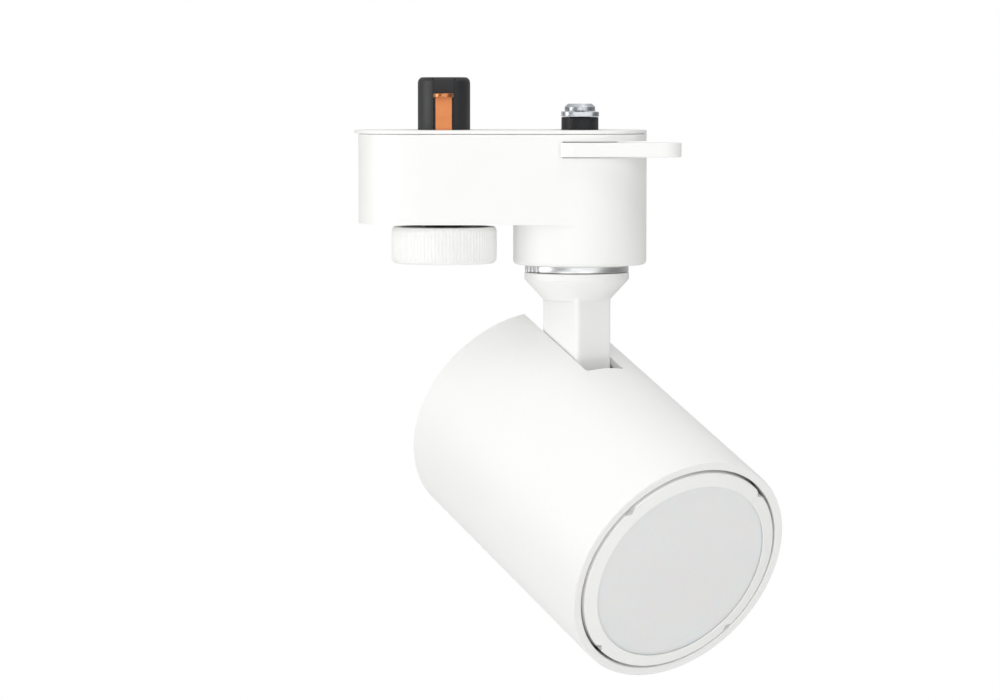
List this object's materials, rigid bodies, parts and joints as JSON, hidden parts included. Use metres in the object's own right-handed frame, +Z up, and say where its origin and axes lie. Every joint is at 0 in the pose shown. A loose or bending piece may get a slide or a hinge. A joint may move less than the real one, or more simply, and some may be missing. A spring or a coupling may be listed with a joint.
{
  "type": "track spotlight",
  "caption": "Track spotlight: track adapter with contact knob and locking lever, swivelling stem, and tilting tubular head with a twist-off diffuser ring.",
  "frame": {"origin": "centre of the adapter's seat face, which lies against the underside of the track", "axes": "+Z up into the track, +X along the track from the contact knob towards the head, -Y towards the lever's side"},
  "size_m": [0.1049, 0.0973, 0.1455],
  "materials": {
    "white_plastic": "moulded, fine satin texture",
    "white_enamel": "matt white powder coat",
    "frosted_plastic": "frosted opal",
    "steel": "zinc plated",
    "brass": "machined",
    "copper": "rolled copper alloy",
    "cast_aluminium": "die cast",
    "mirror": "vacuum metallised",
    "black_plastic": "moulded",
    "grey_plastic": "moulded",
    "circuit_board": "solder mask",
    "phosphor": "cast silicone",
    "red_sheath": "extruded sheath",
    "blue_sheath": "extruded sheath"
  },
  "bodies": {
    "adapter": {"adapter_body": "white_plastic", "adapter_cover": "white_plastic", "cover_screw_1": "steel", "cover_screw_2": "steel", "cover_screw_3": "steel", "terminal_live": "brass", "terminal_neutral": "brass", "terminal_screw_live": "steel", "terminal_screw_neutral": "steel", "lead_live": "red_sheath", "lead_neutral": "blue_sheath", "tooth_washer": "steel"},
    "contact_rotor": {"contact_knob": "white_plastic", "contact_post": "black_plastic", "contact_blade_live": "copper", "contact_blade_neutral": "copper", "knob_screw": "steel"},
    "lock": {"lock_lever": "white_plastic", "lock_post": "black_plastic", "lock_plate": "steel", "lock_plate_screw": "steel", "lock_clip": "steel"},
    "swivel": {"stem": "white_enamel", "swivel_nipple": "brass", "swivel_stop_washer": "steel", "swivel_spring_washer": "steel", "swivel_nut": "brass"},
    "head": {"can": "white_enamel", "rear_cover": "white_enamel", "tie_screw_1": "steel", "tie_screw_2": "steel", "pivot_bracket": "steel", "bracket_screw_1": "steel", "bracket_screw_2": "steel", "pivot_bolt": "steel", "pivot_nut": "steel", "friction_washer_left": "grey_plastic", "friction_washer_right": "grey_plastic", "heat_sink": "cast_aluminium", "led_board": "cast_aluminium", "led_emitter": "phosphor", "led_holder": "white_plastic", "holder_screw_1": "steel", "holder_screw_2": "steel", "reflector": "mirror", "driver_tray": "black_plastic", "driver_board": "circuit_board", "transformer": "black_plastic", "capacitor": "black_plastic", "choke": "black_plastic", "terminal_block": "grey_plastic", "led_lead_plus": "red_sheath", "led_lead_minus": "blue_sheath", "bayonet_collar": "grey_plastic"},
    "ring": {"front_ring": "white_plastic", "diffuser": "frosted_plastic"}
  },
  "joints": [
    {"name": "contact_turn", "type": "hinge", "parent": "adapter", "child": "contact_rotor", "pos_m": [-0.0145, 0, 0], "axis": [0, 0, 1], "range_deg": [0, 90]},
    {"name": "lock_turn", "type": "hinge", "parent": "adapter", "child": "lock", "pos_m": [0.0192, 0, 0], "axis": [0, 0, 1], "range_deg": [0, 90]},
    {"name": "swivel_turn", "type": "hinge", "parent": "adapter", "child": "swivel", "pos_m": [0.01845, 0, 0], "axis": [0, 0, 1], "range_deg": [-160, 160]},
    {"name": "head_tilt", "type": "hinge", "parent": "swivel", "child": "head", "pos_m": [0.01677, 0.00249, -0.0662], "axis": [0.829, 0.5592, 0], "range_deg": [-25, 65]},
    {"name": "ring_twist", "type": "hinge", "parent": "head", "child": "ring", "pos_m": [0.01296, 0.00814, -0.08082], "axis": [0.5068, -0.7514, -0.4226], "range_deg": [0, 24]}
  ]
}
